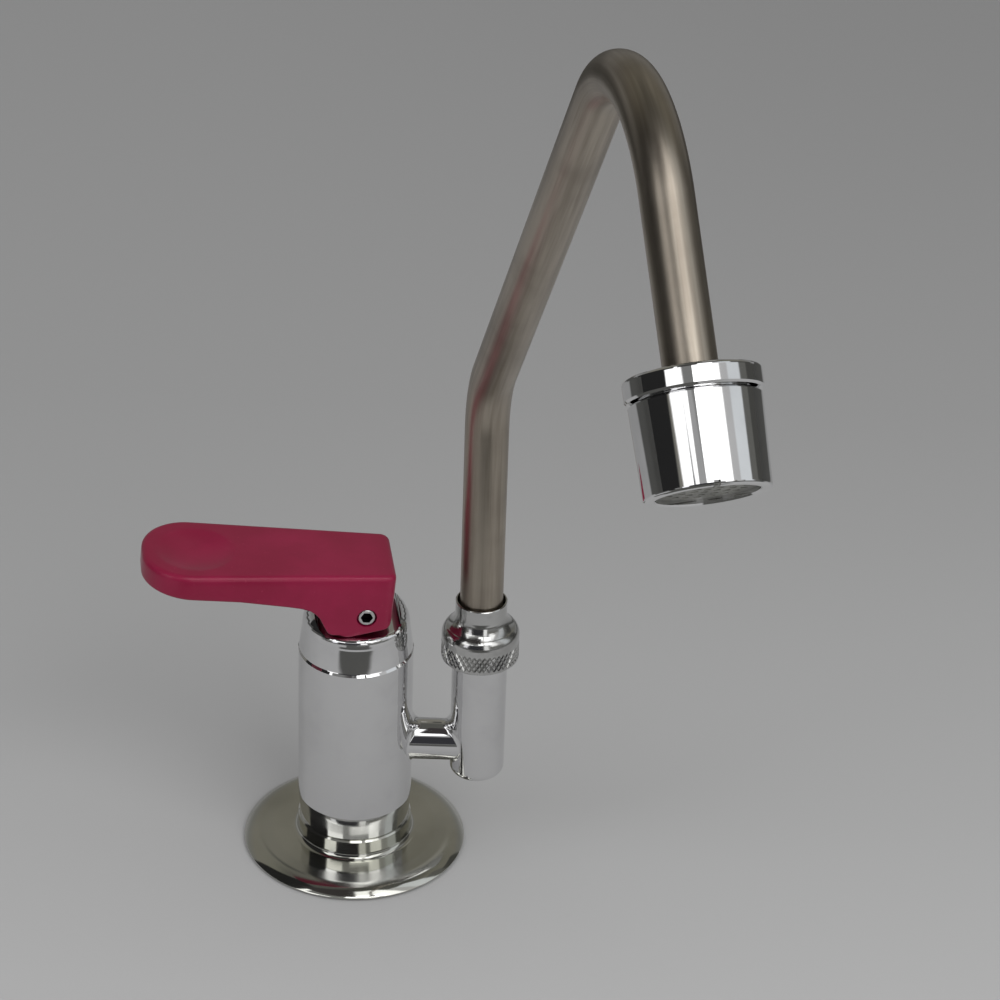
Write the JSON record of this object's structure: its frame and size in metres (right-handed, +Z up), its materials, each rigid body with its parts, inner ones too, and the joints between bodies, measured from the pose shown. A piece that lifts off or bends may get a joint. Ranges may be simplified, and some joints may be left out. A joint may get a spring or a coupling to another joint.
{
  "type": "boiling water tap",
  "caption": "Deck-mounted boiling water tap with a press lever on a round body and a side arm that holds a swivelling bent spout with a cylindrical nozzle.",
  "frame": {"origin": "centre of the deck seat, the underside of the gasket under the flange, on the body's axis", "axes": "+Z up out of the worktop, +X from the body's axis to the spout's swivel axis, +Y away from the user"},
  "size_m": [0.1291, 0.1937, 0.3259],
  "materials": {
    "chrome": "mirror polished plating",
    "polished_steel": "polished stainless steel",
    "brushed_tube": "stainless steel brushed round the tube",
    "crimson_coat": "glossy metallic crimson coat on a cast lever",
    "screw_steel": "plain turned stainless steel",
    "brass": "plain turned brass",
    "copper": "drawn copper pipe",
    "rubber": "matt black rubber",
    "glide_plastic": "smooth white slip washer",
    "insert_plastic": "moulded grey-green insert"
  },
  "bodies": {
    "tap": {"base_flange": "polished_steel", "deck_gasket": "rubber", "shank": "brass", "backing_washer": "rubber", "clamp_washer": "screw_steel", "lock_nut": "brass", "inlet_pipe": "copper", "body": "chrome", "valve_seat": "brass", "side_arm": "chrome", "spout_socket": "chrome", "bonnet": "chrome", "bonnet_ring": "rubber", "stem_spring": "screw_steel", "knurled_nut": "chrome", "glide_ring": "glide_plastic"},
    "stem": {"stem": "screw_steel", "seat_washer": "rubber", "washer_screw": "brass", "stem_ring": "rubber"},
    "lever": {"lever": "crimson_coat", "pivot_screw": "screw_steel"},
    "spout": {"retaining_ring": "screw_steel", "spout_tail": "brass", "tail_ring_low": "rubber", "tail_ring_high": "rubber", "spout_tube": "brushed_tube", "nozzle_collar": "chrome", "nozzle_ring": "rubber", "nozzle_shell": "chrome", "flow_straightener": "insert_plastic"}
  },
  "joints": [
    {"name": "lever_press", "type": "hinge", "parent": "tap", "child": "lever", "pos_m": [-0.00276, -0.00041, 0.06674], "axis": [0.1478, -0.989, 0], "range_deg": [0, 11], "stiffness_Nm_per_rad": 0.048, "springref_deg": -46.98},
    {"name": "stem_lift", "type": "slide", "parent": "tap", "child": "stem", "axis": [0, 0, 1], "range_m": [0, 0.00077], "deforming": ["stem_spring"]},
    {"name": "spout_swivel", "type": "hinge", "parent": "tap", "child": "spout", "pos_m": [0.029, 0, 0.0497], "axis": [0, 0, 1], "continuous": true}
  ],
  "couplings": [
    {"joint": "stem_lift", "follows": "lever_press", "m_per_rad": 0.003973}
  ]
}
